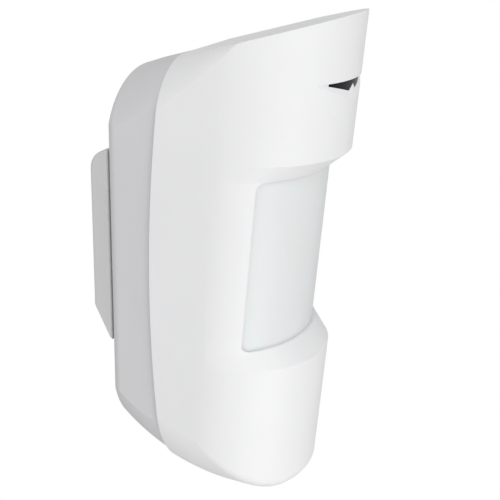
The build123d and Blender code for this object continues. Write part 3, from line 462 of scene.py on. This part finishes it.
# ---- Pieces that repeat or follow a path ----
class Pattern:
    """A Geometry Nodes tree with named inputs whose result becomes one plain mesh."""

    def __init__(self, name, **inputs):
        self.name = name
        self.tree = bpy.data.node_groups.new(name, "GeometryNodeTree")
        self.values = {}
        self.tree.interface.new_socket(name="Geometry", in_out="OUTPUT", socket_type="NodeSocketGeometry")
        for title, value in inputs.items():
            kind = {int: "Int", float: "Float", tuple: "Vector"}[type(value)]
            socket = self.tree.interface.new_socket(
                name=title.replace("_", " "), in_out="INPUT", socket_type="NodeSocket" + kind)
            self.values[socket.identifier] = value
        self.given = self.tree.nodes.new("NodeGroupInput")
        self.result = self.tree.nodes.new("NodeGroupOutput")

    def add(self, kind, inputs=None, **settings):
        """New node; an input is a plain value, a named input of the tree, or another node's output."""
        node = self.tree.nodes.new(kind)
        for key, value in settings.items():
            setattr(node, key, value)
        for title, value in (inputs or {}).items():
            if isinstance(value, bpy.types.NodeSocket):
                self.tree.links.new(value, node.inputs[title])
            elif isinstance(value, str):
                self.tree.links.new(self.given.outputs[value], node.inputs[title])
            else:
                node.inputs[title].default_value = value
        return node.outputs[0]

    def make(self, geometry, material, body):
        """Realize the pattern as a plain mesh that moves with a body."""
        real = self.add("GeometryNodeRealizeInstances", {"Geometry": geometry})
        painted = self.add("GeometryNodeSetMaterial", {"Geometry": real, "Material": material})
        self.tree.links.new(painted, self.result.inputs[0])
        piece = bpy.data.objects.new(self.name, bpy.data.meshes.new(self.name + "_start"))
        bpy.context.scene.collection.objects.link(piece)
        modifier = piece.modifiers.new(self.name, "NODES")
        modifier.node_group = self.tree
        for identifier, value in self.values.items():
            modifier[identifier] = value
        shape = piece.evaluated_get(bpy.context.evaluated_depsgraph_get())
        mesh = bpy.data.meshes.new_from_object(shape)
        piece.modifiers.remove(modifier)
        piece.data = mesh
        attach(piece, body)
        return piece


STEPS_PER_TURN = 36


def coil(name, start, turn, turns, radius, length, wire, sides, material, body):
    """Wire wound round an axis that starts at a point; turn takes +Z onto the axis."""
    pattern = Pattern(name, Turns=turns, Radius=radius, Length=length, Wire_Radius=wire / 2,
                      Start=start, Turn=turn)
    path = pattern.add("GeometryNodeCurveSpiral", {
        "Resolution": STEPS_PER_TURN, "Rotations": "Turns", "Start Radius": "Radius", "End Radius": "Radius",
        "Height": "Length"})
    section = pattern.add("GeometryNodeCurvePrimitiveCircle", {"Resolution": sides, "Radius": "Wire Radius"})
    tube = pattern.add("GeometryNodeCurveToMesh", {
        "Curve": path, "Profile Curve": section, "Fill Caps": True})
    placed = pattern.add("GeometryNodeTransform", {
        "Geometry": tube, "Translation": "Start", "Rotation": "Turn"})
    return pattern.make(placed, material, body)


def middle(low, high):
    return tuple((a + b) / 2 for a, b in zip(low, high))


FACING_OUT = (math.radians(90), 0.0, 0.0)     # +Z turned onto -Y, out of the main board
UPRIGHT = (0.0, 0.0, 0.0)

# Round-wire spring behind the tamper plunger
SPRING_WIRE = 0.0005
SPRING_TURNS = 5.0
SPRING_SIDES = 12
spring_low, spring_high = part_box("tamper_spring")
spring_centre = middle(spring_low, spring_high)
spring_long = spring_high[1] - spring_low[1] - SPRING_WIRE
spring = coil(
    "tamper_coil", (spring_centre[0], spring_high[1] - SPRING_WIRE / 2, spring_centre[2]), FACING_OUT,
    SPRING_TURNS, (spring_high[0] - spring_low[0] - SPRING_WIRE) / 2, spring_long, SPRING_WIRE,
    SPRING_SIDES, spring_steel, "housing")
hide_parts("tamper_spring")
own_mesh(spring)

# Rolled threads on the two long screws
THREAD_PITCH = 0.0007
THREAD_RIDGE = 0.00034
THREAD_LONG = 0.0070
THREAD_SUNK = 0.1         # share of the ridge's thickness drawn inwards
THREAD_SIDES = 6
SHANK_RADIUS = 0.0015
for screw in ("cover_screw", "bracket_lock_screw"):
    screw_low, screw_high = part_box(screw)
    screw_centre = middle(screw_low, screw_high)
    thread_start = screw_high[2] - THREAD_LONG - THREAD_RIDGE
    coil(screw + "_thread", (screw_centre[0], screw_centre[1], thread_start), UPRIGHT,
         THREAD_LONG / THREAD_PITCH, SHANK_RADIUS - THREAD_RIDGE * THREAD_SUNK, THREAD_LONG,
         THREAD_RIDGE, THREAD_SIDES, screw_steel, screw)

# Gull-wing legs on all four sides of the microcontroller
chip_low, chip_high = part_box("microcontroller")
chip_centre = middle(chip_low, chip_high)
chip_side = chip_high[0] - chip_low[0]
chip_tall = chip_high[1] - chip_low[1]
LEGS = 11
LEG_PITCH = 0.00055
LEG_WIDE, LEG_THICK = 0.00025, 0.00012
LEG_REACH = 0.0010
LEG_SUNK = 0.0001         # the leg's root starts this far inside the chip
legs = Pattern("microcontroller_legs", Legs=LEGS, Pitch=(LEG_PITCH, 0.0, 0.0),
               First=(-LEG_PITCH * (LEGS - 1) / 2, chip_side / 2, 0.0),
               Board=(chip_centre[0], chip_high[1], chip_centre[2]), Facing=FACING_OUT)
bend = legs.add("GeometryNodeCurvePrimitiveBezierSegment", {
    "Resolution": 12, "Start": (0.0, -LEG_SUNK, chip_tall * 0.5),
    "Start Handle": (0.0, 0.0007, chip_tall * 0.55), "End Handle": (0.0, 0.0002, LEG_THICK / 2),
    "End": (0.0, LEG_REACH, LEG_THICK / 2)}, mode="POSITION")
strip = legs.add("GeometryNodeCurvePrimitiveQuadrilateral", {"Width": LEG_WIDE, "Height": LEG_THICK})
leg = legs.add("GeometryNodeCurveToMesh", {"Curve": bend, "Profile Curve": strip, "Fill Caps": True})
row_points = legs.add("GeometryNodeMeshLine", {
    "Count": "Legs", "Start Location": "First", "Offset": "Pitch"})
row = legs.add("GeometryNodeInstanceOnPoints", {"Points": row_points, "Instance": leg})
all_sides = legs.tree.nodes.new("GeometryNodeJoinGeometry")
for quarter in range(4):
    side = legs.add("GeometryNodeTransform", {
        "Geometry": row, "Rotation": (0.0, 0.0, math.radians(90 * quarter))})
    legs.tree.links.new(side, all_sides.inputs[0])
on_board = legs.add("GeometryNodeTransform", {
    "Geometry": all_sides.outputs[0], "Translation": "Board", "Rotation": "Facing"})
legs.make(on_board, shield_tin, "housing")

# Solder joints along the two long edges of the radio board
radio_low, radio_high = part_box("radio_module")
JOINTS = 10
JOINT_PITCH = 0.0024
DROP_RADIUS = 0.00055
DROP_FORM = (0.8, 1.3, 1.0)
first_joint = (radio_low[0] + radio_high[0]) / 2 - JOINT_PITCH * (JOINTS - 1) / 2
joints = Pattern("radio_solder_joints", Joints=JOINTS, Pitch=(JOINT_PITCH, 0.0, 0.0),
                 First=(first_joint, radio_high[1], 0.0))
drop = joints.add("GeometryNodeMeshIcoSphere", {"Radius": DROP_RADIUS, "Subdivisions": 3})
flat_drop = joints.add("GeometryNodeTransform", {"Geometry": drop, "Scale": DROP_FORM})
edge_points = joints.add("GeometryNodeMeshLine", {
    "Count": "Joints", "Start Location": "First", "Offset": "Pitch"})
edge = joints.add("GeometryNodeInstanceOnPoints", {"Points": edge_points, "Instance": flat_drop})
both_edges = joints.tree.nodes.new("GeometryNodeJoinGeometry")
for height in (radio_low[2], radio_high[2]):
    moved = joints.add("GeometryNodeTransform", {"Geometry": edge, "Translation": (0.0, 0.0, height)})
    joints.tree.links.new(moved, both_edges.inputs[0])
joints.make(both_edges.outputs[0], shield_tin, "housing")


# ---- Floor ----
FLOOR_BELOW = 0.8
FLOOR_REACH = 12.0
floor_finish = Finish("studio_floor", 0.8)
grain = floor_finish.noise(6.0, 3.0)
floor_finish.colour(floor_finish.ramp(grain, (0.3, (0.86, 0.86, 0.86)), (0.7, (0.88, 0.88, 0.88))))
paper = floor_finish.add("ShaderNodeEmission")
paper_mix = floor_finish.add("ShaderNodeMixShader")
seen = floor_finish.add("ShaderNodeLightPath")
floor_finish.link(seen.outputs["Is Camera Ray"], paper_mix.inputs["Fac"])
floor_finish.link(floor_finish.surface.outputs[0], paper_mix.inputs[1])
floor_finish.link(paper.outputs[0], paper_mix.inputs[2])
floor_finish.link(paper_mix.outputs[0], floor_finish.out.inputs["Surface"])
floor_mesh = bpy.data.meshes.new("studio_floor")
floor_z = cad_bounds[0][2] - FLOOR_BELOW
corners = [(x * FLOOR_REACH, y * FLOOR_REACH, floor_z) for x, y in ((-1, -1), (1, -1), (1, 1), (-1, 1))]
floor_mesh.from_pydata(corners, [], [(0, 1, 2, 3)])
floor_mesh.materials.append(floor_finish.material)
floor = bpy.data.objects.new("studio_floor", floor_mesh)
bpy.context.scene.collection.objects.link(floor)
